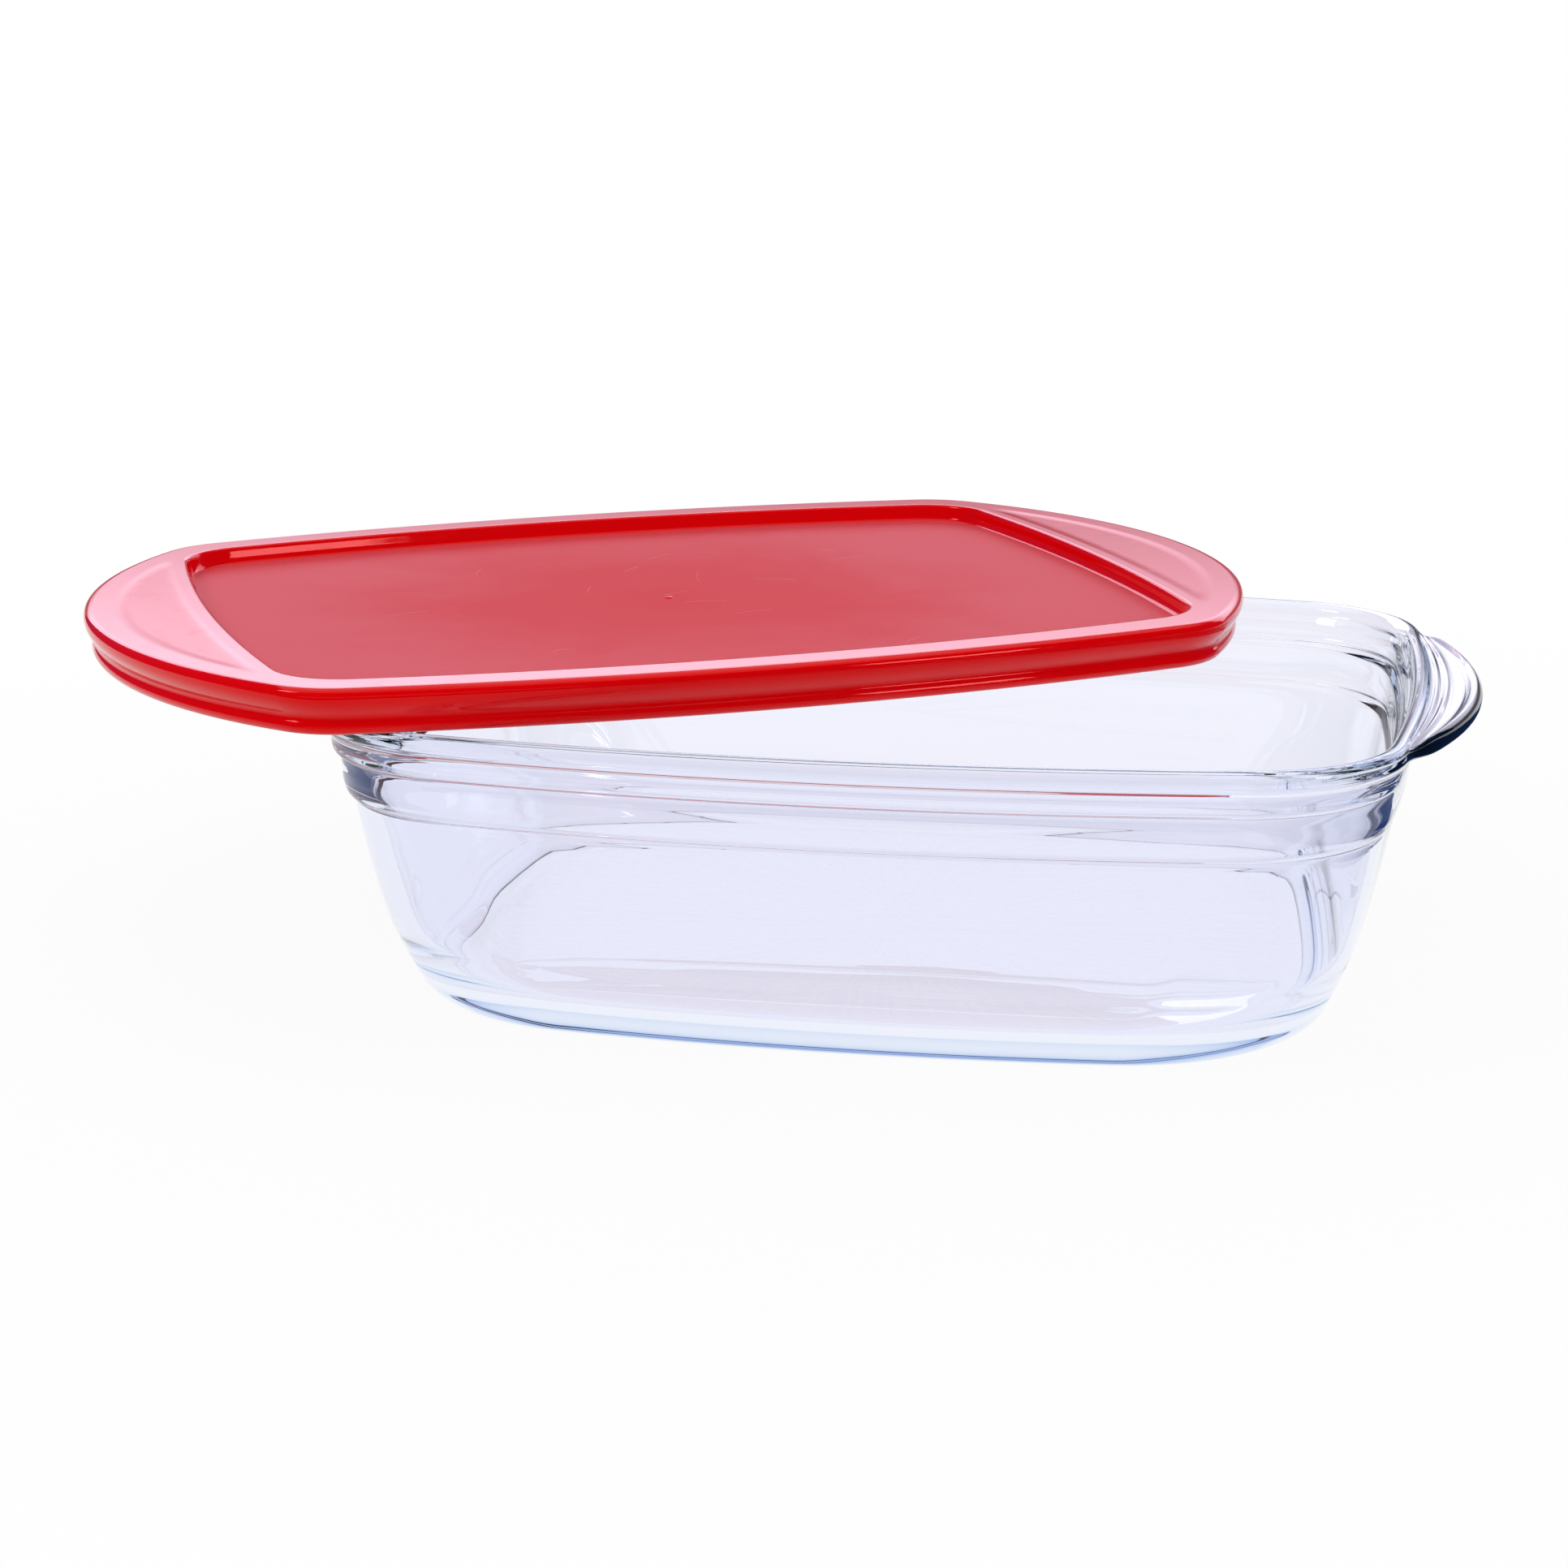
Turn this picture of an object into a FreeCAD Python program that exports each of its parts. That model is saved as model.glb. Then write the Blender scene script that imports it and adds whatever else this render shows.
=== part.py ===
import FreeCAD
import Part
import math
import os

Vector = FreeCAD.Vector

# All sizes are in millimetres. The origin is the centre of the dish's flat base.
# +X runs along the dish's long side, +Y to its far side and +Z up.

# Glass dish
dish_height = 70.0
dish_plan = {"half_length": 127.0, "half_width": 100.0,
             "end_radius": 540.0, "side_radius": 595.0, "corner_radius": 34.5}
wall_thickness = 4.2
base_corner_radius = 47.0
base_widening = 8.0

# The outer wall going down from the rim, as height and distance in from the rim's outline:
# the rim bead, two rounded ledges, the drafted wall and the round turn into the flat base.
rim_bead = [(70.0, 1.7), (69.5, 0.7), (68.6, 0.1), (67.6, 0.0), (66.2, 0.2), (65.2, 0.8), (64.6, 1.6)]
upper_ledge = [(63.4, 1.9), (61.6, 1.9), (60.3, 2.2), (59.5, 2.8), (59.0, 3.6)]
lower_ledge = [(58.0, 3.7), (55.6, 3.6), (52.2, 3.8), (50.2, 4.2), (49.2, 4.8), (48.5, 5.5)]
plain_wall = [(46.5, 5.8), (33.0, 8.4), (20.0, 11.5)]
base_turn = [(14.0, 13.6), (9.5, 15.4), (6.0, 17.0), (3.4, 18.1), (1.5, 19.4), (0.4, 20.6), (0.0, 22.0)]

# The floor's turn up into the inner wall, and the rim's rounded inner edge
floor_turn = [(14.5, 17.9), (10.6, 19.7), (8.0, 21.5), (6.2, 23.6), (5.1, 26.0), (4.6, 28.6)]
rim_inner_edge = [(71.0, 2.5), (70.0, 2.9), (69.4, 3.8), (68.2, 4.5)]

# Wing handle at each end of the rim
handle_tip = 139.0
handle_radius = 135.0
wing_start = 115.0
handle_top = 69.3
handle_thickness = 4.2
handle_root_radius = 16.0
handle_edge_radius = 1.3
lip_setback = 1.3
lip_width = 3.6
lip_height = 0.6
lip_edge_radius = 0.5
groove_width = 1.5

# Plastic lid, measured from the top of its flange
lid_plan = {"half_length": 146.0, "half_width": 103.2,
            "end_radius": 135.0, "side_radius": 575.0, "corner_radius": 24.0}
panel_plan = {"half_length": 116.0, "half_width": 92.4,
              "end_radius": 610.0, "side_radius": 545.0, "corner_radius": 18.0}
skin = 1.3
flange_thickness = 1.5
hollow_start = 4
panel_depth = 4.4
panel_thickness = 1.5
panel_draft = 0.9
skirt = [(0.0, 1.7), (-0.4, 0.8), (-1.2, 0.15), (-2.2, 0.0), (-3.6, 0.3), (-5.2, 1.2),
         (-6.6, 2.3), (-7.4, 2.4), (-8.4, 1.8), (-9.6, 1.8), (-10.5, 2.5), (-10.9, 3.0)]
crescent_depth = 0.4
crescent_edge = 9.2
crescent_gap = 5.0
crescent_corner = 3.0
gate_radius = 0.8
gate_height = 0.3

# Where the lid lies: askew on the rim, turned and shifted towards the far left corner
lid_gap = 0.3
lid_centre = (-64.3, 33.5)
lid_turn = 29.8


def outline(plan, height, inset=0.0, corner=None):
    """Closed wire of eight tangent arcs: two bowed ends, two bowed sides, four corners."""
    end_r = plan["end_radius"] - inset
    side_r = plan["side_radius"] - inset
    corner_r = plan["corner_radius"] - inset if corner is None else corner
    end_centre = Vector(plan["half_length"] - plan["end_radius"], 0, 0)
    side_centre = Vector(0, plan["half_width"] - plan["side_radius"], 0)
    across = side_centre - end_centre
    gap = across.Length
    to_end = end_r - corner_r
    to_side = side_r - corner_r
    along = (to_end ** 2 - to_side ** 2 + gap ** 2) / (2 * gap)
    off = math.sqrt(to_end ** 2 - along ** 2)
    unit = across / gap
    centre = end_centre + unit * along + Vector(-unit.y, unit.x, 0) * off
    end_way = (centre - end_centre) / to_end
    side_way = (centre - side_centre) / to_side
    bisector = (end_way + side_way).normalize()
    on_end = end_centre + end_way * end_r
    on_side = side_centre + side_way * side_r
    on_corner = centre + bisector * corner_r
    tip = Vector(plan["half_length"] - inset, 0, 0)
    flank = Vector(0, plan["half_width"] - inset, 0)

    def at(point, sign_x, sign_y):
        return Vector(point.x * sign_x, point.y * sign_y, height)

    stops = [(on_end, tip, on_end, (1, -1), (1, 1)), (on_end, on_corner, on_side, (1, 1), (1, 1)),
             (on_side, flank, on_side, (1, 1), (-1, 1)), (on_side, on_corner, on_end, (-1, 1), (-1, 1)),
             (on_end, tip, on_end, (-1, 1), (-1, -1)), (on_end, on_corner, on_side, (-1, -1), (-1, -1)),
             (on_side, flank, on_side, (-1, -1), (1, -1)), (on_side, on_corner, on_end, (1, -1), (1, -1))]
    edges = []
    for start, middle, end, first, last in stops:
        arc = Part.Arc(at(start, *first), at(middle, *first), at(end, *last))
        edges.append(arc.toShape())
    return Part.Wire(edges)


def stack(plan, levels):
    """Solid through the outlines at each (height, inset) or (height, inset, corner) level."""
    return Part.makeLoft([outline(plan, *level) for level in levels], True, True)


def prism(plan, low, high, inset=0.0):
    face = Part.Face(outline(plan, low, inset))
    return face.extrude(Vector(0, 0, high - low))


def shifted(levels, grow):
    """The same levels, each moved inwards by grow."""
    return [(height, inset + grow) for height, inset in levels]


def dish_stack(levels):
    """Solid of the dish's outline: rounder corners and steeper long walls towards the base."""
    wires = []
    for height, inset in levels:
        share = 1 - height / dish_height
        corner = dish_plan["corner_radius"] * (1 - share) + base_corner_radius * share
        gain = base_widening * max(0.0, 1 - height / plain_wall[0][0])
        plan = dict(dish_plan, half_width=dish_plan["half_width"] + gain)
        wires.append(outline(plan, height, inset, corner))
    return Part.makeLoft(wires, True, True)


def dish_outside():
    return dish_stack(rim_bead + upper_ledge + lower_ledge + plain_wall + base_turn)


def dish_inside():
    wall = shifted(upper_ledge + lower_ledge + plain_wall, wall_thickness)
    return dish_stack(rim_inner_edge + wall + floor_turn)


def wing_discs(radius, low, high):
    """The outer part of a round disc at each end, which gives the wing handles their arc."""
    thick = high - low
    discs = []
    for side in (1, -1):
        centre = Vector(side * (handle_tip - handle_radius), 0, low)
        disc = Part.makeCylinder(radius, thick, centre)
        block = Part.makeBox(radius, 2 * radius, thick, Vector(wing_start, -radius, low))
        if side < 0:
            block.rotate(Vector(), Vector(0, 0, 1), 180)
        discs.append(disc.common(block))
    return discs


def root_edges(plate):
    """The upright edges where a wing's arc meets the rim's outline."""
    found = []
    for edge in plate.Edges:
        box = edge.BoundBox
        if box.ZLength > 1 and box.XLength < 0.01 and abs(box.XMin) > wing_start:
            found.append(edge)
    return found


def level_edges(shape, height=None):
    """The edges that lie level, all of them or only those at one height."""
    found = []
    for edge in shape.Edges:
        box = edge.BoundBox
        if box.ZLength < 0.01 and (height is None or abs(box.ZMin - height) < 0.01):
            found.append(edge)
    return found


def handle_plate():
    """One flat plate with a rounded edge: the rim's outline with a wing at each end."""
    low = handle_top - handle_thickness
    plate = prism(dish_plan, low, handle_top, wall_thickness / 2)
    for disc in wing_discs(handle_radius, low, handle_top):
        plate = plate.fuse(disc)
    plate = plate.removeSplitter()
    plate = plate.makeFillet(handle_root_radius, root_edges(plate))
    return plate.makeFillet(handle_edge_radius, level_edges(plate))


def handle_lip(side):
    """Low raised lip that follows a wing's outer edge, with a groove between it and the rim."""
    low = handle_top - lip_height
    high = handle_top + lip_height
    outer_radius = handle_radius - lip_setback
    outer = wing_discs(outer_radius, low, high)[side]
    inner = wing_discs(outer_radius - lip_width, low - 1, high + 1)[side]
    lip = outer.cut(inner).cut(prism(dish_plan, low - 1, high + 1, -groove_width))
    long_edges = [edge for edge in level_edges(lip, high) if edge.Length > 10 * lip_width]
    return lip.makeFillet(lip_edge_radius, long_edges)


def glass_dish():
    """Bowl, rim bead, ledges and wing handles, pressed in one."""
    body = dish_outside().fuse(handle_plate())
    for side in (0, 1):
        body = body.fuse(handle_lip(side))
    return body.cut(dish_inside())


def crescent(turn):
    """Shallow crescent pressed into the flange over one wing of the dish."""
    half_length = lid_plan["half_length"] - crescent_edge
    radius = lid_plan["end_radius"] - crescent_edge
    disc = Part.makeCylinder(radius, 2 * crescent_depth, Vector(half_length - radius, 0, -crescent_depth))
    wide_plan = dict(panel_plan, half_width=2 * panel_plan["half_width"], side_radius=1000.0)
    moons = disc.cut(prism(wide_plan, -1.0, 1.0, -crescent_gap)).Solids
    moon = max(moons, key=lambda solid: solid.CenterOfMass.x)
    tips = [edge for edge in moon.Edges if edge.BoundBox.ZLength > crescent_depth]
    moon = moon.makeFillet(crescent_corner, tips)
    moon.rotate(Vector(), Vector(0, 0, 1), turn)
    return moon


def skirt_shell():
    """Flange and skirt: the skirt's outer levels, hollowed by the same levels one skin in."""
    hollow = shifted(skirt[hollow_start:], skin)
    ceiling = (-flange_thickness, hollow[0][1])
    below = (skirt[-1][0] - 1.0, hollow[-1][1])
    return stack(lid_plan, skirt).cut(stack(lid_plan, [ceiling] + hollow + [below]))


def lid():
    """One moulding: flange, skirt with its lower bead, and a panel sunk inside the flange."""
    pan_foot = -panel_depth - panel_thickness
    pan = stack(panel_plan, [(-flange_thickness / 2, -skin), (pan_foot, panel_draft - skin)])
    recess = stack(panel_plan, [(1.0, 0.0), (0.0, 0.0), (-panel_depth, panel_draft)])
    body = skirt_shell().fuse(pan).cut(recess)
    for turn in (0, 180):
        body = body.cut(crescent(turn))
    gate = Part.makeCylinder(gate_radius, panel_thickness + gate_height, Vector(0, 0, pan_foot))
    body = body.fuse(gate)
    body.rotate(Vector(), Vector(0, 0, 1), lid_turn)
    rise = dish_height + lid_gap - skirt[-1][0]
    body.translate(Vector(lid_centre[0], lid_centre[1], rise))
    return body


os.makedirs("parts", exist_ok=True)
for name, shape in (("glass_dish", glass_dish()), ("lid", lid())):
    solid = shape.removeSplitter().Solids[0]
    box = solid.optimalBoundingBox()
    print(name, "valid", solid.isValid(), "solids", len(shape.Solids), "volume", round(solid.Volume), box)
    solid.exportStep("parts/" + name + ".step")
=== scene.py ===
import math

import bmesh
import bpy
from mathutils import Matrix, Vector


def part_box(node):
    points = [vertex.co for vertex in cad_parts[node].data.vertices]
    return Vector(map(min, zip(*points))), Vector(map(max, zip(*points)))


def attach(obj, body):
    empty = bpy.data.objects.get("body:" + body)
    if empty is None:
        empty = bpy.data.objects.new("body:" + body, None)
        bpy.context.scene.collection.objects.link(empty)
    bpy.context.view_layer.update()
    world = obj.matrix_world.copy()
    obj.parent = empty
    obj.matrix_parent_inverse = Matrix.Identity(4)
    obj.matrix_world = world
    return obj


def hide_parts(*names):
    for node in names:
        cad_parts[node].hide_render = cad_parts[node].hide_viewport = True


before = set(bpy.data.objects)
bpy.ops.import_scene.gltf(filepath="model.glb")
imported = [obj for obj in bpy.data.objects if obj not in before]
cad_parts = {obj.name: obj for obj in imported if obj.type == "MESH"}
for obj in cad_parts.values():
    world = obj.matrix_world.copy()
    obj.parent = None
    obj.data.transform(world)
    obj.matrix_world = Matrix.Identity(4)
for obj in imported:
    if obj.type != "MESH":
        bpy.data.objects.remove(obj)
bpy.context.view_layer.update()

scene = bpy.context.scene
mm = 0.001
seamGap = 0.03 * mm      # points nearer than this are one point of a seam


# small helpers

def fromHex(code, alpha=1.0):
    # sRGB hex to the linear values that a shader socket takes
    channels = []
    for start in (0, 2, 4):
        value = int(code[start:start + 2], 16) / 255
        channels.append(value / 12.92 if value <= 0.04045 else ((value + 0.055) / 1.055) ** 2.4)
    return (*channels, alpha)


def addNode(tree, kind, settings=None, links=None):
    # settings go to inputs where the name is one, otherwise to the node; links are input: (node, output)
    node = tree.nodes.new(kind)
    for name, value in (settings or {}).items():
        if isinstance(name, int) or name in node.inputs:
            node.inputs[name].default_value = value
        else:
            setattr(node, name, value)
    for name, (source, output) in (links or {}).items():
        tree.links.new(source.outputs[output], node.inputs[name])
    return node


def newMaterial(name):
    material = bpy.data.materials.new(name)
    material.use_nodes = True
    material.node_tree.nodes.clear()
    return material, material.node_tree


def blendStep(low, high, value):
    share = min(1.0, max(0.0, (value - low) / (high - low)))
    return share * share * (3 - 2 * share)


# plan outlines: two bowed ends, two bowed sides and four tangent corners, as in the pressing

arcSteps = {"halfEnd": 22, "corner": 26, "halfSide": 30}


def quarterArcs(plan, inset, cornerRadius):
    # the first quadrant's end, corner and side arcs, as (centre, radius, first angle, last angle, steps)
    endRadius = plan["endRadius"] - inset
    sideRadius = plan["sideRadius"] - inset
    endCentre = Vector((plan["halfLength"] - plan["endRadius"], 0))
    sideCentre = Vector((0, plan["halfWidth"] - plan["sideRadius"]))
    across = sideCentre - endCentre
    toEnd = endRadius - cornerRadius
    toSide = sideRadius - cornerRadius
    along = (toEnd ** 2 - toSide ** 2 + across.length ** 2) / (2 * across.length)
    off = math.sqrt(max(0.0, toEnd ** 2 - along ** 2))
    unit = across.normalized()
    centre = endCentre + unit * along + Vector((-unit.y, unit.x)) * off
    endAngle = math.atan2(centre.y, centre.x - endCentre.x)
    sideAngle = math.atan2(centre.y - sideCentre.y, centre.x)
    return ((endCentre, endRadius, 0.0, endAngle, arcSteps["halfEnd"]),
            (centre, cornerRadius, endAngle, sideAngle, arcSteps["corner"]),
            (sideCentre, sideRadius, sideAngle, math.pi / 2, arcSteps["halfSide"]))


def onArc(centre, radius, first, last, steps, step):
    # (point, outward normal) at one step of an arc
    angle = first + (last - first) * step / steps
    normal = Vector((math.cos(angle), math.sin(angle)))
    return centre + normal * radius, normal


def outline(plan, inset=0.0, cornerRadius=None):
    # (point, outward normal) all round, anticlockwise from the middle of the right end
    if cornerRadius is None:
        cornerRadius = plan["cornerRadius"] - inset
    arcs = quarterArcs(plan, inset, cornerRadius)
    quadrant = [onArc(*arc, step) for arc in arcs for step in range(arc[-1])]
    quadrant.append(onArc(*arcs[-1], arcs[-1][-1]))
    return mirrored(quadrant)


def mirrored(quadrant):
    # the first quadrant, then the other three by mirroring, without repeating shared points
    def flip(items, signX, signY):
        return [(Vector((p.x * signX, p.y * signY)), Vector((n.x * signX, n.y * signY)))
                for p, n in items]

    second = flip(reversed(quadrant[1:-1]), -1, 1)
    leftMiddle = flip(quadrant[:1], -1, 1)
    third = flip(quadrant[1:-1], -1, -1)
    fourth = flip(reversed(quadrant[1:]), 1, -1)
    return quadrant + second + leftMiddle + third + fourth


def throughPoints(a, b, c, d, t):
    # Catmull-Rom from b to c
    bow = 2 * a - 5 * b + 4 * c - d
    twist = 3 * b - a - 3 * c + d
    return 0.5 * (2 * b + (c - a) * t + bow * t * t + twist * t ** 3)


def smoothLevels(levels, steps):
    # a smooth wall from the few levels of a section
    done = []
    for index in range(len(levels) - 1):
        before = levels[max(index - 1, 0)]
        start, end = levels[index], levels[index + 1]
        after = levels[min(index + 2, len(levels) - 1)]
        for step in range(steps):
            done.append(tuple(throughPoints(*four, step / steps)
                              for four in zip(before, start, end, after)))
    done.append(levels[-1])
    return done


def addShell(points, faces, rings, firstCentre=None, lastCentre=None):
    # skin through equal rings, shut by a point at an end that has a centre
    count, start = len(rings[0]), len(points)
    points += [point for ring in rings for point in ring]
    for row in range(len(rings) - 1):
        for column in range(count):
            across = (column + 1) % count
            low, high = start + row * count, start + (row + 1) * count
            faces.append((low + column, low + across, high + across, high + column))
    for centre, ring in ((firstCentre, start), (lastCentre, len(points) - count)):
        if centre is not None:
            points.append(centre)
            for column in range(count):
                faces.append((len(points) - 1, ring + (column + 1) % count, ring + column))


def newPiece(name, points, faces, edges=()):
    mesh = bpy.data.meshes.new(name)
    mesh.from_pydata([tuple(point) for point in points], edges, faces)
    piece = bpy.data.objects.new(name, mesh)
    scene.collection.objects.link(piece)
    return piece


def closeMesh(mesh):
    # merged seams and outward faces, so the skin is one closed wall
    skinMesh = bmesh.new()
    skinMesh.from_mesh(mesh)
    bmesh.ops.remove_doubles(skinMesh, verts=skinMesh.verts, dist=seamGap)
    bmesh.ops.recalc_face_normals(skinMesh, faces=skinMesh.faces)
    skinMesh.to_mesh(mesh)
    skinMesh.free()
    mesh.shade_smooth()


# trees: named inputs, set on the modifier by identifier; the result is kept as a plain mesh

def newTree(name, inputs):
    tree = bpy.data.node_groups.new(name, "GeometryNodeTree")
    tree.interface.new_socket("Geometry", in_out="INPUT", socket_type="NodeSocketGeometry")
    for label, kind in inputs:
        tree.interface.new_socket(label, in_out="INPUT", socket_type="NodeSocket" + kind)
    tree.interface.new_socket("Geometry", in_out="OUTPUT", socket_type="NodeSocketGeometry")
    return tree, addNode(tree, "NodeGroupInput")


def runTree(piece, tree, values):
    modifier = piece.modifiers.new(tree.name, "NODES")
    modifier.node_group = tree
    for item in tree.interface.items_tree:
        if item.in_out == "INPUT" and item.name in values:
            modifier[item.identifier] = values[item.name]
    ready = piece.evaluated_get(bpy.context.evaluated_depsgraph_get())
    mesh = bpy.data.meshes.new_from_object(ready)
    piece.modifiers.remove(modifier)
    mesh.name = piece.name
    # the result's first slot is an empty one
    while mesh.materials and mesh.materials[0] is None:
        mesh.materials.pop(index=0)
    piece.data = mesh


# glass dish: one pressing, drawn as a section carried round the rim's outline; sizes in mm

dish = {
    "plan": {"halfLength": 127.0, "halfWidth": 99.95, "endRadius": 540.0, "sideRadius": 595.0,
             "cornerRadius": 34.5},
    "height": 70.0,
    "floor": 4.6,
    "wall": 4.2,
    "baseCorner": 47.0,
    "baseWidening": 8.0,
    "plainTop": 46.5,
    "wingTip": 139.0,
    "wingRadius": 135.0,
    "wingStart": 112.0,
    "wingSoft": 1.6,
    "wingEase": 5.0,
    # rings added between two of a section's levels
    "turnSteps": 5,
    "ledgeSteps": 4,
    "rimSteps": 3,
    # the flat base and floor are drawn in to the middle by these shares
    "flatShares": (0.98, 0.93, 0.65, 0.3),
    # sections as (height, distance in from the rim's outline)
    "baseTurn": [(0.0, 23.4), (0.0, 22.0), (0.4, 20.6), (1.5, 19.4), (3.4, 18.1), (6.0, 17.0),
                 (9.5, 15.4), (14.0, 13.6), (20.0, 11.5), (33.0, 8.4), (46.5, 5.8)],
    "ledges": [(46.5, 5.8), (48.5, 5.5), (49.2, 4.8), (50.2, 4.2), (52.2, 3.8), (55.6, 3.6),
               (58.0, 3.7), (59.0, 3.6), (59.5, 2.8), (60.3, 2.2), (61.6, 1.9), (63.4, 1.9)],
    "rimInner": [(70.0, 2.4), (69.8, 3.2), (69.3, 3.9), (68.4, 4.4), (67.0, 4.7), (65.5, 5.3)],
    "floorTurn": [(46.5, 10.0), (33.0, 12.6), (20.0, 15.7), (14.5, 17.9), (10.6, 19.7),
                  (8.0, 21.5), (6.2, 23.6), (5.1, 26.0), (4.6, 28.6), (4.6, 30.0)],
    # the bead's levels go on with the share of the wing's reach and the height out on the wing
    "bead": [(64.3, 1.8, 0.0, 64.3), (64.7, 1.4, 0.08, 64.7), (65.2, 0.9, 0.3, 65.05),
             (65.8, 0.45, 0.68, 65.15), (66.4, 0.15, 0.9, 65.4), (66.9, 0.05, 0.98, 66.1),
             (67.4, 0.0, 1.0, 67.4), (67.8, 0.0, 0.985, 68.6), (68.1, 0.02, 0.93, 69.5),
             (68.35, 0.05, 0.86, 69.85), (68.55, 0.1, 0.78, 69.75), (68.75, 0.15, 0.70, 69.3),
             (68.95, 0.25, 0.58, 69.1), (69.1, 0.35, 0.44, 69.15), (69.25, 0.45, 0.34, 69.45),
             (69.4, 0.6, 0.26, 69.2), (69.5, 0.75, 0.18, 69.45), (69.65, 0.95, 0.10, 69.2),
             (69.85, 1.3, 0.03, 69.75), (70.0, 1.9, 0.0, 70.0)],
}


def wingReach(point, normal):
    # distance from the rim's outline out to the wing's arc, easing to nothing at its roots
    side = 1 if point.x > 0 else -1
    centre = Vector((side * (dish["wingTip"] - dish["wingRadius"]), 0))
    offset = point - centre
    along = offset.dot(normal)
    inside = along * along - offset.length_squared + dish["wingRadius"] ** 2
    if inside <= 0 or abs(point.x) < dish["wingStart"]:
        return 0.0
    reach = math.sqrt(inside) - along
    soft = dish["wingSoft"]
    eased = (reach + math.sqrt(reach * reach + 4 * soft * soft)) / 2
    return max(0.0, eased - soft * soft / max(reach, soft))


def dishCorner(height):
    # the corners are rounder towards the base
    share = 1 - height / dish["height"]
    return dish["plan"]["cornerRadius"] * (1 - share) + dish["baseCorner"] * share


def dishRing(height, inset, share=0.0, wingHeight=0.0):
    # one level of the wall, with its long sides steeper below and its ends drawn out to the wings
    ring = []
    rimLine = outline(dish["plan"])
    gain = dish["baseWidening"] * max(0.0, 1 - height / dish["plainTop"])
    plan = dict(dish["plan"], halfWidth=dish["plan"]["halfWidth"] + gain)
    wallLine = outline(plan, inset, dishCorner(height))
    for (point, normal), (rimPoint, rimNormal) in zip(wallLine, rimLine):
        reach = wingReach(rimPoint, rimNormal) if share or wingHeight else 0.0
        z = height
        if wingHeight:
            z += (wingHeight - height) * blendStep(0.0, dish["wingEase"], reach)
        spot = point + normal * reach * share
        ring.append(Vector((spot.x * mm, spot.y * mm, max(0.0, z) * mm)))
    return ring


def drawnIn(ring, share):
    return [Vector((spot.x * share, spot.y * share, spot.z)) for spot in ring]


def makeDish():
    baseTurn = smoothLevels(dish["baseTurn"], dish["turnSteps"])
    ledges = smoothLevels(dish["ledges"], dish["ledgeSteps"])
    bead = smoothLevels(dish["bead"], dish["rimSteps"])
    rimInner = smoothLevels(dish["rimInner"], dish["rimSteps"])
    innerLedges = [(height, inset + dish["wall"]) for height, inset in reversed(ledges)]
    floorTurn = smoothLevels(dish["floorTurn"], dish["turnSteps"])
    levels = baseTurn + ledges[1:] + bead + rimInner + innerLedges + floorTurn[1:]
    rings = [dishRing(*level) for level in levels]
    base = [drawnIn(rings[0], share) for share in reversed(dish["flatShares"])]
    floor = [drawnIn(rings[-1], share) for share in dish["flatShares"]]
    points, faces = [], []
    addShell(points, faces, base + rings + floor,
             firstCentre=Vector((0, 0, 0)), lastCentre=Vector((0, 0, dish["floor"] * mm)))
    piece = newPiece("pressedGlassDish", points, faces)
    closeMesh(piece.data)
    return piece


# lid: one moulding, its section carried round two outlines, the skirt's and the panel's

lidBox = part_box("lid")
lid = {
    "plan": {"halfLength": 145.95, "halfWidth": 103.15, "endRadius": 135.0, "sideRadius": 575.0,
             "cornerRadius": 24.0},
    "panelPlan": {"halfLength": 116.0, "halfWidth": 92.4, "endRadius": 610.0, "sideRadius": 545.0,
                  "cornerRadius": 18.0},
    "turn": math.radians(29.8),
    "centre": ((Vector(lidBox[0]) + Vector(lidBox[1])) / 2).xy,
    "top": lidBox[1][2],
    "skin": 1.3,
    "flange": 1.5,
    "panelDepth": 4.4,
    "panelThickness": 1.5,
    "draft": 0.9,
    # the skirt from the flange down, as (height, distance in from the lid's outline)
    "skirt": [(0.0, 2.2), (-0.15, 1.3), (-0.6, 0.55), (-1.3, 0.12), (-2.2, 0.0), (-3.2, 0.15),
              (-4.2, 0.6), (-5.2, 1.25), (-6.2, 2.0), (-6.9, 2.35), (-7.6, 2.3), (-8.3, 1.9),
              (-9.2, 1.7), (-10.0, 2.0), (-10.6, 2.5), (-10.9, 3.1)],
    "skirtSteps": 4,
    # the skirt's hollow stops this far under the flange, then turns in as (drop, further in)
    "hollowStop": 1.2,
    "hollowTurn": [(0.3, 0.25), (0.0, 0.75)],
    # gate mark on the panel, as (height, radius)
    "gateHeight": 0.3,
    "gate": [(0.3, 0.72), (0.24, 0.9), (0.0, 0.9), (0.0, 1.3), (0.0, 6.0)],
    # panel's edge and recess wall: (height over the panel, further in), heights, (height, further in)
    "panelTurn": [(0.0, 14.0), (0.0, 6.0), (0.0, 2.0), (0.0, 1.0), (0.1, 0.55),
                  (0.35, 0.2), (0.8, -0.02)],
    "recessWall": (-3.0, -2.2, -1.4, -0.8),
    "recessLip": [(-0.4, 0.0), (-0.12, -0.2), (0.0, -0.6)],
    "flangeStart": -1.0,
    # the panel's underside: (drop from the flange, further in), (height over the foot, further in)
    "panTop": [(0.0, -0.8), (0.4, 0.0)],
    "panFoot": [(0.6, -0.1), (0.15, 0.2), (0.0, 0.8), (0.0, 7.3)],
    "flangeRows": 84,
    "crescentEdge": 9.2,
    "crescentGap": 5.0,
    "crescentCorner": 3.0,
    "crescentDepth": 0.12,
    "crescentSoft": 2.0,
    "dullSoft": 0.8,
}


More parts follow.
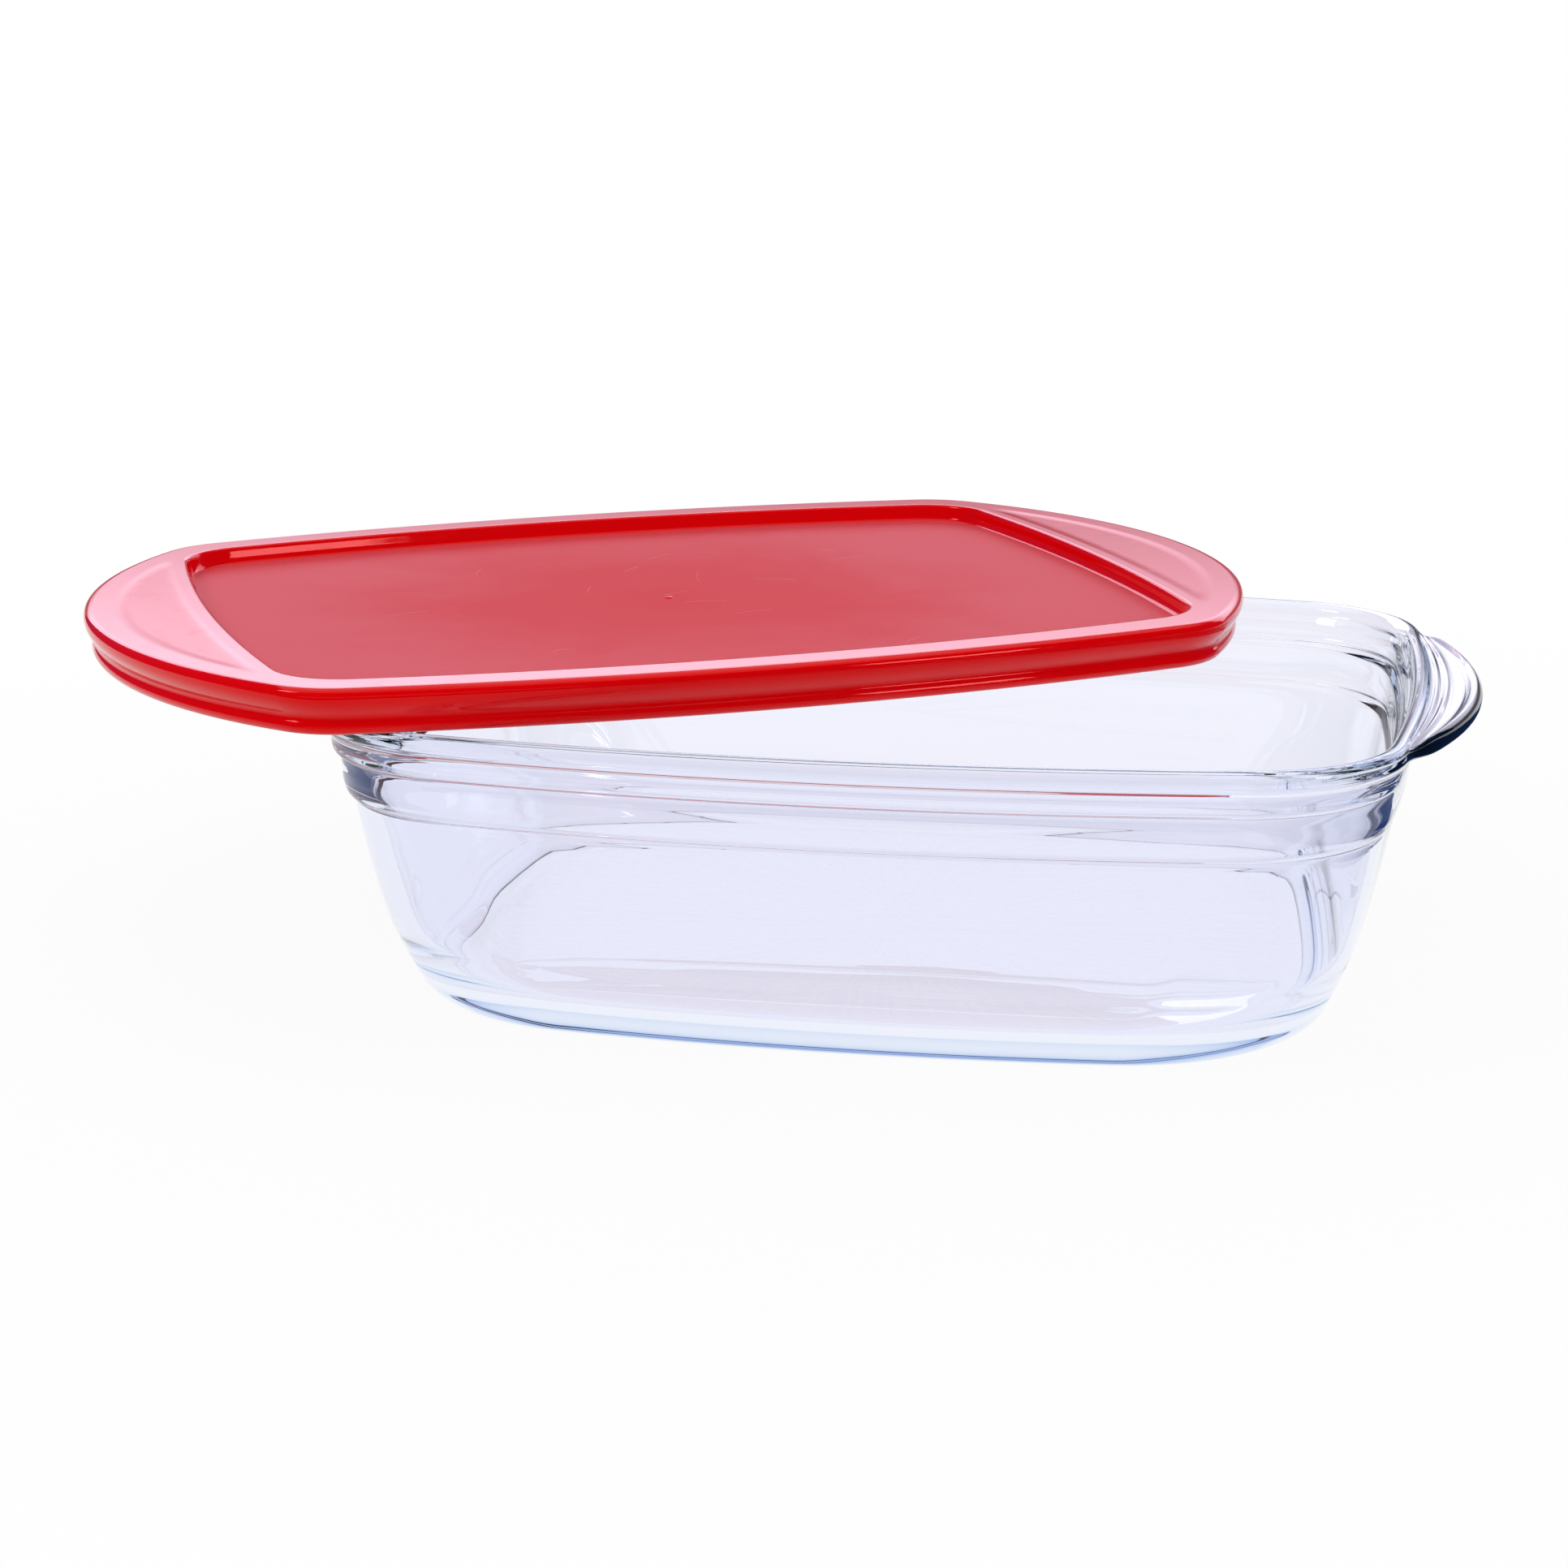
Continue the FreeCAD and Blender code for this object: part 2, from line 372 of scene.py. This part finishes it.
def crescentShare(spot, soft):
    # 1 inside the crescent over a wing, 0 outside, eased over soft to each side of its edge
    x, y = abs(spot.x), spot.y
    plan = lid["plan"]
    endRadius = plan["endRadius"] - lid["crescentEdge"]
    centreX = plan["halfLength"] - plan["endRadius"]
    toEdge = endRadius - math.hypot(x - centreX, y)
    inner = lid["panelPlan"]
    innerX = inner["halfLength"] - inner["endRadius"]
    toPanel = math.hypot(x - innerX, y) - inner["endRadius"] - lid["crescentGap"]
    # the two edges meet in rounded tips
    corner = lid["crescentCorner"]
    inside = -math.hypot(min(0.0, toEdge - corner), min(0.0, toPanel - corner)) + corner
    return blendStep(-soft, soft, inside)


def lidPlace(spot, height):
    turn = Matrix.Rotation(lid["turn"], 2)
    placed = turn @ spot * mm + lid["centre"]
    return Vector((placed.x, placed.y, lid["top"] + height * mm))


def makeLid(gloss):
    # panel, recess wall and flange above, the same underneath; the tree sweeps the skirt between them
    plan, panelPlan = lid["plan"], lid["panelPlan"]
    depth, draft, skin, flange = lid["panelDepth"], lid["draft"], lid["skin"], lid["flange"]
    foot = depth + lid["panelThickness"]

    def ring(source, height, inset):
        return [lidPlace(point, height) for point, normal in outline(source, inset)]

    upper = []
    for height, radius in lid["gate"]:
        upper.append([lidPlace(point.normalized() * radius, height - depth)
                      for point, normal in outline(panelPlan)])
    upper += [ring(panelPlan, rise - depth, draft + extra) for rise, extra in lid["panelTurn"]]
    upper += [ring(panelPlan, height, -draft * height / depth) for height in lid["recessWall"]]
    upper += [ring(panelPlan, *level) for level in lid["recessLip"]]
    inner = [point for point, normal in outline(panelPlan, lid["flangeStart"])]
    outer = [point for point, normal in outline(plan, lid["skirt"][0][1])]
    for row in range(lid["flangeRows"] + 1):
        share = row / lid["flangeRows"]
        line = []
        for first, last in zip(inner, outer):
            spot = first.lerp(last, share)
            pressedIn = crescentShare(spot, lid["crescentSoft"])
            line.append(lidPlace(spot, -lid["crescentDepth"] * pressedIn))
        upper.append(line)

    skirt = smoothLevels(lid["skirt"], lid["skirtSteps"])
    section = skirt + [(height, inset + skin) for height, inset in reversed(skirt)
                       if height < -flange - lid["hollowStop"]]
    (dropOut, turnOut), (dropIn, turnIn) = lid["hollowTurn"]
    section.append((-flange - dropOut, section[-1][1] + turnOut))
    lower = [ring(plan, *section[-1]), ring(plan, -flange - dropIn, section[-1][1] + turnIn)]
    lower += [ring(panelPlan, -flange - drop, extra - skin) for drop, extra in lid["panTop"]]
    lower += [ring(panelPlan, rise - foot, draft - skin + extra) for rise, extra in lid["panFoot"]]
    points, faces = [], []
    middle = Vector((0, 0))
    addShell(points, faces, upper, firstCentre=lidPlace(middle, lid["gateHeight"] - depth))
    addShell(points, faces, lower, lastCentre=lidPlace(middle, -foot))
    piece = newPiece("mouldedLid", points, faces)

    count = len(upper[-1])
    path = newPiece("skirtPath", upper[-1], [], [(i, (i + 1) % count) for i in range(count)])
    start = lid["skirt"][0][1]
    line = [(start - inset, -height, 0) for height, inset in section]
    profile = newPiece("skirtSection", line, [], [(i, i + 1) for i in range(len(line) - 1)])
    runTree(piece, skirtTree(), {"Rim Path": path, "Skirt Section": profile, "Section Size": mm,
                                 "Merge Distance": seamGap, "Plastic": gloss})
    for helper in (path, profile):
        bpy.data.objects.remove(helper)
    closeMesh(piece.data)
    return piece


def skirtTree():
    # the skirt's section is carried round the flange's edge and merged with the flange
    tree, given = newTree("sweptSkirt", [("Rim Path", "Object"), ("Skirt Section", "Object"),
                                         ("Section Size", "Float"), ("Merge Distance", "Float"),
                                         ("Plastic", "Material")])
    path = addNode(tree, "GeometryNodeObjectInfo", {}, {"Object": (given, "Rim Path")})
    rail = addNode(tree, "GeometryNodeMeshToCurve", {}, {"Mesh": (path, "Geometry")})
    level = addNode(tree, "GeometryNodeSetCurveNormal", {"mode": "Z_UP"}, {"Curve": (rail, "Curve")})
    shape = addNode(tree, "GeometryNodeObjectInfo", {}, {"Object": (given, "Skirt Section")})
    line = addNode(tree, "GeometryNodeMeshToCurve", {}, {"Mesh": (shape, "Geometry")})
    sized = addNode(tree, "GeometryNodeTransform", {},
                    {"Geometry": (line, "Curve"), "Scale": (given, "Section Size")})
    swept = addNode(tree, "GeometryNodeCurveToMesh", {},
                    {"Curve": (level, "Curve"), "Profile Curve": (sized, "Geometry")})
    whole = addNode(tree, "GeometryNodeJoinGeometry", {}, {"Geometry": (swept, "Mesh")})
    tree.links.new(given.outputs["Geometry"], whole.inputs["Geometry"])
    merged = addNode(tree, "GeometryNodeMergeByDistance", {},
                     {"Geometry": (whole, "Geometry"), "Distance": (given, "Merge Distance")})
    real = addNode(tree, "GeometryNodeRealizeInstances", {}, {"Geometry": (merged, "Geometry")})
    dressed = addNode(tree, "GeometryNodeSetMaterial", {},
                      {"Geometry": (real, "Geometry"), "Material": (given, "Plastic")})
    addNode(tree, "NodeGroupOutput", {}, {"Geometry": (dressed, "Geometry")})
    return tree


# materials: a noise scale is written as 1 / the size of its blotches in metres

def borosilicateGlass():
    # pressed and fire-polished borosilicate: clear, very faint lilac-blue, a slow ripple from the mould
    material, tree = newMaterial("pressedBorosilicateGlass")
    place = addNode(tree, "ShaderNodeTexCoord")
    ripple = addNode(tree, "ShaderNodeTexNoise", {"Scale": 1 / 0.05, "Detail": 1.0, "Roughness": 0.4},
                     {"Vector": (place, "Object")})
    bump = addNode(tree, "ShaderNodeBump", {"Strength": 0.04, "Distance": 0.0002},
                   {"Height": (ripple, 0)})
    glass = addNode(tree, "ShaderNodeBsdfPrincipled",
                    {"Base Color": fromHex("F6F6FF"), "Roughness": 0.0, "IOR": 1.474,
                     "Transmission Weight": 1.0},
                    {"Normal": (bump, "Normal")})
    depth = addNode(tree, "ShaderNodeVolumeAbsorption", {"Color": fromHex("BBD6F4"), "Density": 14.0})
    addNode(tree, "ShaderNodeOutputMaterial", {}, {"Surface": (glass, 0), "Volume": (depth, 0)})
    return material


def redPolyethylene():
    # injection-moulded polyethylene, polished mould: deep red, clear gloss, light goes a little way in
    material, tree = newMaterial("redPolyethyleneGloss")
    place = addNode(tree, "ShaderNodeTexCoord")
    skinWave = addNode(tree, "ShaderNodeTexNoise", {"Scale": 1 / 0.018, "Detail": 3.0},
                       {"Vector": (place, "Object")})
    bump = addNode(tree, "ShaderNodeBump", {"Strength": 0.12, "Distance": 0.0001},
                   {"Height": (skinWave, 0)})
    rub = addNode(tree, "ShaderNodeTexNoise", {"Scale": 1 / 0.006, "Detail": 6.0},
                  {"Vector": (place, "Object")})
    worn = addNode(tree, "ShaderNodeMapRange",
                   {"From Min": 0.5, "From Max": 0.8, "To Min": 0.05, "To Max": 0.13},
                   {"Value": (rub, 0)})
    # the pressed crescents are a little duller than the flange round them
    pressed = addNode(tree, "ShaderNodeAttribute", {"attribute_name": "pressed"})
    dulled = addNode(tree, "ShaderNodeMath", {"operation": "MULTIPLY_ADD", 1: 0.09},
                     {0: (pressed, "Fac"), 2: (worn, 0)})
    sheen = addNode(tree, "ShaderNodeMapRange", {"To Min": 0.5, "To Max": 0.3},
                    {"Value": (pressed, "Fac")})
    plastic = addNode(tree, "ShaderNodeBsdfPrincipled",
                      {"Base Color": fromHex("E60002"), "IOR": 1.52, "Specular Tint": fromHex("EE8C8C"),
                       "Subsurface Weight": 0.15, "Subsurface Radius": (1.0, 0.05, 0.04),
                       "Subsurface Scale": 0.003},
                      {"Normal": (bump, "Normal"), "Roughness": (dulled, 0),
                       "Specular IOR Level": (sheen, 0)})
    addNode(tree, "ShaderNodeOutputMaterial", {}, {"Surface": (plastic, 0)})
    return material


satin = {
    "deep": "D40008",        # at the middle and round the gate
    "paleTone": "D8454E",      # towards the edges, paler
    # distances from the gate in metres
    "paleStart": 0.03,
    "paleEnd": 0.105,
    "paleLeast": 0.12,
    "spotStart": 0.004,
    "spotEnd": 0.026,
}


def satinPanel():
    # spark-eroded mould face: the same plastic, satin, its colour paler away from the gate
    material, tree = newMaterial("redPolyethyleneSatin")
    place = addNode(tree, "ShaderNodeTexCoord")
    x, y = lid["centre"]
    centred = addNode(tree, "ShaderNodeMapping", {"Location": (-x, -y, 0)}, {"Vector": (place, "Object")})
    flat = addNode(tree, "ShaderNodeVectorMath", {"operation": "MULTIPLY", 1: (1, 1, 0)},
                   {0: (centred, 0)})
    away = addNode(tree, "ShaderNodeVectorMath", {"operation": "LENGTH"}, {"Vector": (flat, 0)})
    cloud = addNode(tree, "ShaderNodeTexNoise",
                    {"Scale": 1 / 0.05, "Detail": 5.0, "Roughness": 0.55, "Distortion": 0.6},
                    {"Vector": (place, "Object")})
    lean = addNode(tree, "ShaderNodeMath", {"operation": "MULTIPLY_ADD", 1: 0.07, 2: -0.035},
                   {0: (cloud, 0)})
    reach = addNode(tree, "ShaderNodeMath", {"operation": "ADD"}, {0: (away, "Value"), 1: (lean, 0)})
    # the colour turns paler away from the gate and stays deep round it
    paleness = addNode(tree, "ShaderNodeMapRange",
                   {"interpolation_type": "SMOOTHSTEP", "From Min": satin["paleStart"],
                    "From Max": satin["paleEnd"], "To Min": satin["paleLeast"], "To Max": 1.0},
                   {"Value": (reach, 0)})
    spot = addNode(tree, "ShaderNodeMapRange",
                   {"interpolation_type": "SMOOTHSTEP", "From Min": satin["spotStart"],
                    "From Max": satin["spotEnd"]},
                   {"Value": (away, "Value")})
    share = addNode(tree, "ShaderNodeMath", {"operation": "MULTIPLY"}, {0: (paleness, 0), 1: (spot, 0)})
    colour = addNode(tree, "ShaderNodeMix",
                     {"data_type": "RGBA", 6: fromHex(satin["deep"]), 7: fromHex(satin["paleTone"])},
                     {0: (share, 0)})
    grain = addNode(tree, "ShaderNodeTexNoise", {"Scale": 1 / 0.0009, "Detail": 2.0},
                    {"Vector": (place, "Object")})
    bump = addNode(tree, "ShaderNodeBump", {"Strength": 0.25, "Distance": 0.00005},
                   {"Height": (grain, 0)})
    plastic = addNode(tree, "ShaderNodeBsdfPrincipled",
                      {"Roughness": 0.55, "IOR": 1.52, "Specular IOR Level": 0.09,
                       "Specular Tint": fromHex("F08088"), "Subsurface Weight": 0.3,
                       "Subsurface Radius": (1.0, 0.06, 0.05), "Subsurface Scale": 0.004},
                      {"Base Color": (colour, 2), "Normal": (bump, "Normal")})
    addNode(tree, "ShaderNodeOutputMaterial", {}, {"Surface": (plastic, 0)})
    return material


def scratchedPlastic():
    # burr of a scratch: the same plastic stretched pale
    material, tree = newMaterial("scratchedPolyethylene")
    place = addNode(tree, "ShaderNodeTexCoord")
    rough = addNode(tree, "ShaderNodeTexNoise", {"Scale": 1 / 0.002, "Detail": 2.0},
                    {"Vector": (place, "Object")})
    pale = addNode(tree, "ShaderNodeMix",
                   {"data_type": "RGBA", 6: fromHex("DC6670"), 7: fromHex("F0A0A8")},
                   {0: (rough, 0)})
    plastic = addNode(tree, "ShaderNodeBsdfPrincipled", {"Roughness": 0.6, "IOR": 1.52},
                      {"Base Color": (pale, 2)})
    addNode(tree, "ShaderNodeOutputMaterial", {}, {"Surface": (plastic, 0)})
    return material


def seenRays(tree, rays):
    # 1 for rays that see a thing straight, through glass or mirrored; 0 for rays that gather its light
    direct = addNode(tree, "ShaderNodeMath", {"operation": "MAXIMUM"},
                     {0: (rays, "Is Camera Ray"), 1: (rays, "Is Transmission Ray")})
    return addNode(tree, "ShaderNodeMath", {"operation": "MAXIMUM"},
                   {0: (direct, 0), 1: (rays, "Is Glossy Ray")})


def studioPaper():
    # white sweep: shown as plain white, with part of its real shading kept so the shadow stays
    material, tree = newMaterial("whiteStudioPaper")
    matte = addNode(tree, "ShaderNodeBsdfDiffuse", {"Color": fromHex("F4F4F6")})
    plain = addNode(tree, "ShaderNodeEmission", {"Color": (1, 1, 1, 1), "Strength": 1.0})
    seen = seenRays(tree, addNode(tree, "ShaderNodeLightPath"))
    place = addNode(tree, "ShaderNodeTexCoord")
    far = addNode(tree, "ShaderNodeVectorMath", {"operation": "LENGTH"}, {"Vector": (place, "Object")})
    keep = addNode(tree, "ShaderNodeMapRange",
                   {"From Min": 0.15, "From Max": 0.5, "To Min": 0.94, "To Max": 1.0},
                   {"Value": (far, "Value")})
    share = addNode(tree, "ShaderNodeMath", {"operation": "MULTIPLY"}, {0: (seen, 0), 1: (keep, 0)})
    mix = addNode(tree, "ShaderNodeMixShader", {}, {0: (share, 0), 1: (matte, 0), 2: (plain, 0)})
    addNode(tree, "ShaderNodeOutputMaterial", {}, {"Surface": (mix, 0)})
    return material


def glowCard(name, code, low, high, bottom=0.0, top=1.0):
    # card that glows at strength low up to the bottom height and at strength high from the top one
    material, tree = newMaterial(name)
    place = addNode(tree, "ShaderNodeTexCoord")
    height = addNode(tree, "ShaderNodeSeparateXYZ", {}, {0: (place, "Object")})
    rise = addNode(tree, "ShaderNodeMapRange",
                   {"From Min": bottom, "From Max": top, "To Min": low, "To Max": high},
                   {"Value": (height, "Z")})
    glow = addNode(tree, "ShaderNodeEmission", {"Color": fromHex(code)}, {"Strength": (rise, 0)})
    addNode(tree, "ShaderNodeOutputMaterial", {}, {"Surface": (glow, 0)})
    return material


# build and dress the two pieces

glassDish = makeDish()
glassDish.data.materials.append(borosilicateGlass())
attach(glassDish, "dish")
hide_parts("glass_dish")
print("dish made:", len(glassDish.data.polygons), "faces")

lidPiece = makeLid(redPolyethylene())
lidPiece.data.materials.append(satinPanel())
panelLevel = lid["top"] - lid["panelDepth"] * mm
panelSlack = 0.2 * mm
for face in lidPiece.data.polygons:
    if face.normal.z > 0.9 and abs(face.center.z - panelLevel) < panelSlack:
        face.material_index = 1
# the crescents are marked on the flange's points for the gloss material
turnedBack = Matrix.Rotation(-lid["turn"], 2)
wingStart = lid["panelPlan"]["halfLength"] - 20
pressed = lidPiece.data.attributes.new("pressed", "FLOAT", "POINT")
for vertex, share in zip(lidPiece.data.vertices, pressed.data):
    spot = turnedBack @ (vertex.co.xy - lid["centre"]) / mm
    onWing = abs(spot.x) > wingStart and vertex.co.z > lid["top"] - mm
    share.value = crescentShare(spot, lid["dullSoft"]) if onWing else 0.0
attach(lidPiece, "lid")
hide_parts("lid")
print("lid made:", len(lidPiece.data.polygons), "faces")

scratches = {"Count": 13, "Area Length": 0.17, "Area Width": 0.14, "Scratch Length": 0.007,
             "Scratch Width": 0.00005, "Seed": 7}


def scratchTree():
    # short bent hairlines strewn over the panel, each a thin three-sided sliver
    tree, given = newTree("fineScratches", [("Count", "Float"), ("Area Length", "Float"),
                                            ("Area Width", "Float"), ("Scratch Length", "Float"),
                                            ("Scratch Width", "Float"), ("Seed", "Int"),
                                            ("Place", "Vector"), ("Turn", "Vector"),
                                            ("Plastic", "Material")])
    sheet = addNode(tree, "GeometryNodeMeshGrid", {"Vertices X": 2, "Vertices Y": 2},
                    {"Size X": (given, "Area Length"), "Size Y": (given, "Area Width")})
    area = addNode(tree, "ShaderNodeMath", {"operation": "MULTIPLY"},
                   {0: (given, "Area Length"), 1: (given, "Area Width")})
    density = addNode(tree, "ShaderNodeMath", {"operation": "DIVIDE"},
                      {0: (given, "Count"), 1: (area, 0)})
    spots = addNode(tree, "GeometryNodeDistributePointsOnFaces", {},
                    {"Mesh": (sheet, "Mesh"), "Density": (density, 0), "Seed": (given, "Seed")})
    bend = addNode(tree, "GeometryNodeCurveQuadraticBezier",
                   {"Resolution": 4, "Start": (-0.5, 0, 0), "Middle": (0.05, 0.16, 0),
                    "End": (0.5, 0, 0)})
    length = addNode(tree, "GeometryNodeTransform", {},
                     {"Geometry": (bend, "Curve"), "Scale": (given, "Scratch Length")})
    section = addNode(tree, "GeometryNodeCurvePrimitiveCircle", {"Resolution": 3},
                      {"Radius": (given, "Scratch Width")})
    sliver = addNode(tree, "GeometryNodeCurveToMesh", {"Fill Caps": True},
                     {"Curve": (length, "Geometry"), "Profile Curve": (section, "Curve")})
    # heading between two angles in radians, size as a share of the scratch length
    heading = addNode(tree, "FunctionNodeRandomValue",
                      {"data_type": "FLOAT_VECTOR", 0: (0, 0, -0.9), 1: (0, 0, 1.5)},
                      {"Seed": (given, "Seed")})
    size = addNode(tree, "FunctionNodeRandomValue", {"data_type": "FLOAT", 2: 0.35, 3: 1.7},
                   {"Seed": (given, "Seed")})
    stretch = addNode(tree, "ShaderNodeCombineXYZ", {"Y": 1.0, "Z": 1.0}, {"X": (size, 1)})
    strewn = addNode(tree, "GeometryNodeInstanceOnPoints", {},
                     {"Points": (spots, "Points"), "Instance": (sliver, "Mesh"), "Rotation": (heading, 0),
                      "Scale": (stretch, 0)})
    placed = addNode(tree, "GeometryNodeTransform", {},
                     {"Geometry": (strewn, "Instances"), "Translation": (given, "Place"),
                      "Rotation": (given, "Turn")})
    real = addNode(tree, "GeometryNodeRealizeInstances", {}, {"Geometry": (placed, "Geometry")})
    dressed = addNode(tree, "GeometryNodeSetMaterial", {},
                      {"Geometry": (real, "Geometry"), "Material": (given, "Plastic")})
    addNode(tree, "NodeGroupOutput", {}, {"Geometry": (dressed, "Geometry")})
    return tree


scratchPiece = newPiece("panelScratches", [], [])
runTree(scratchPiece, scratchTree(), {**scratches, "Place": (*lid["centre"], panelLevel),
                                      "Turn": (0, 0, lid["turn"]), "Plastic": scratchedPlastic()})
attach(scratchPiece, "lid")
print("scratches made:", len(scratchPiece.data.polygons), "faces")


# studio: white sweep and surround; a bright card and dark blue flags that only glass and gloss
# show, for the lid's sheen and the dark lines in the glass; three soft lamps

everyRay = ("camera", "diffuse", "glossy", "transmission", "shadow")
mirrorRays = ("glossy", "transmission")


def card(name, near, far, material, shownTo):
    # level or upright rectangle between two opposite corners
    (x, y, z), (farX, farY, farZ) = near, far
    if z == farZ:
        corners = [near, (farX, y, z), far, (x, farY, z)]
    else:
        corners = [near, (farX, farY, z), far, (x, y, farZ)]
    piece = newPiece(name, corners, [(0, 1, 2, 3)])
    piece.data.materials.append(material)
    for ray in everyRay:
        setattr(piece, "visible_" + ray, ray in shownTo)


card("studioFloor", (-4, -4, 0), (4, 4, 0), studioPaper(), everyRay)
card("backLight", (-1.6, 1.6, 0.05), (1.6, 1.6, 1.3),
     glowCard("backDiffuser", "EDE9FF", 0.25, 2.9, 0.3, 0.5), ("glossy",))
flagPaper = glowCard("darkBlueFlag", "203A68", 1.0, 1.0)
card("frontFlag", (-3.0, -1.9, 0.25), (3.0, -1.9, 2.8), flagPaper, mirrorRays)
card("leftFlag", (-1.2, -1.9, 0.02), (-1.2, 1.3, 1.6), flagPaper, mirrorRays)
card("rightFlag", (1.2, -1.9, 0.02), (1.2, 1.3, 1.6), flagPaper, mirrorRays)
card("tableFlag", (-1.2, -1.9, 0.01), (1.2, -0.3, 0.01), flagPaper, mirrorRays)
# kept out of reflections, where it would turn the lid's left end blue
card("leftTableFlag", (-0.8, -0.3, 0.01), (-0.21, 0.3, 0.01), flagPaper, ("transmission",))
card("rightTableFlag", (0.17, -0.3, 0.01), (0.7, 0.3, 0.01), flagPaper, mirrorRays)

world = bpy.data.worlds.new("paleStudio")
scene.world = world
world.use_nodes = True
sky = world.node_tree
sky.nodes.clear()
rays = addNode(sky, "ShaderNodeLightPath")
seen = seenRays(sky, rays)
# it lights as an even pale ambient; glass and gloss show white round the horizon, a band of dim
# blue ceiling above that, and white again overhead
ambient = addNode(sky, "ShaderNodeBackground", {"Color": fromHex("F4F4FA"), "Strength": 0.68})
around = addNode(sky, "ShaderNodeTexCoord")
upward = addNode(sky, "ShaderNodeSeparateXYZ", {}, {0: (around, "Generated")})
ceiling = addNode(sky, "ShaderNodeMapRange",
                  {"interpolation_type": "SMOOTHSTEP", "From Min": 0.32, "From Max": 0.46},
                  {"Value": (upward, "Z")})
overhead = addNode(sky, "ShaderNodeMapRange",
                   {"interpolation_type": "SMOOTHSTEP", "From Min": 0.6, "From Max": 0.8,
                    "To Min": 1.0, "To Max": 0.0},
                   {"Value": (upward, "Z")})
band = addNode(sky, "ShaderNodeMath", {"operation": "MULTIPLY"}, {0: (ceiling, 0), 1: (overhead, 0)})
notCamera = addNode(sky, "ShaderNodeMath", {"operation": "SUBTRACT", 0: 1.0},
                    {1: (rays, "Is Camera Ray")})
dim = addNode(sky, "ShaderNodeMath", {"operation": "MULTIPLY"}, {0: (band, 0), 1: (notCamera, 0)})
shade = addNode(sky, "ShaderNodeMix", {"data_type": "RGBA", 6: (1, 1, 1, 1), 7: fromHex("34486E")},
                {0: (dim, 0)})
backdrop = addNode(sky, "ShaderNodeBackground", {"Strength": 1.0}, {"Color": (shade, 2)})
shown = addNode(sky, "ShaderNodeMixShader", {}, {0: (seen, 0), 1: (ambient, 0), 2: (backdrop, 0)})
addNode(sky, "ShaderNodeOutputWorld", {}, {"Surface": (shown, 0)})


def softBox(name, place, aim, size, power):
    lamp = bpy.data.lights.new(name, "AREA")
    lamp.shape = "RECTANGLE"
    lamp.size, lamp.size_y = size
    lamp.energy = power
    box = bpy.data.objects.new(name, lamp)
    box.location = place
    box.rotation_euler = (Vector(aim) - Vector(place)).to_track_quat("-Z", "Y").to_euler()
    scene.collection.objects.link(box)


softBox("overheadBox", (0.1, 0.2, 1.3), (0, 0, 0.05), (1.4, 1.0), 1.8)
softBox("leftBox", (-0.94, -0.53, 0.95), (-0.1, -0.05, 0.07), (0.4, 0.3), 3.2)
softBox("rightBox", (1.12, -0.7, 0.42), (0, 0, 0.07), (0.3, 0.3), 2.6)

# camera

view = {"place": (0.1310, -0.7635, 0.2429), "turn": 11.742, "drop": 14.712, "roll": -0.334,
        "lens": 75.36, "sensor": 36}
cameraData = bpy.data.cameras.new("camera")
cameraData.lens = view["lens"]
cameraData.sensor_width = view["sensor"]
camera = bpy.data.objects.new("camera", cameraData)
camera.location = view["place"]
turned = Matrix.Rotation(math.radians(view["turn"]), 4, "Z")
tipped = Matrix.Rotation(math.radians(90 - view["drop"]), 4, "X")
rolled = Matrix.Rotation(math.radians(view["roll"]), 4, "Z")
camera.rotation_euler = (turned @ tipped @ rolled).to_euler()
scene.collection.objects.link(camera)
scene.camera = camera
scene.view_settings.view_transform = "Standard"
print("studio and camera ready")
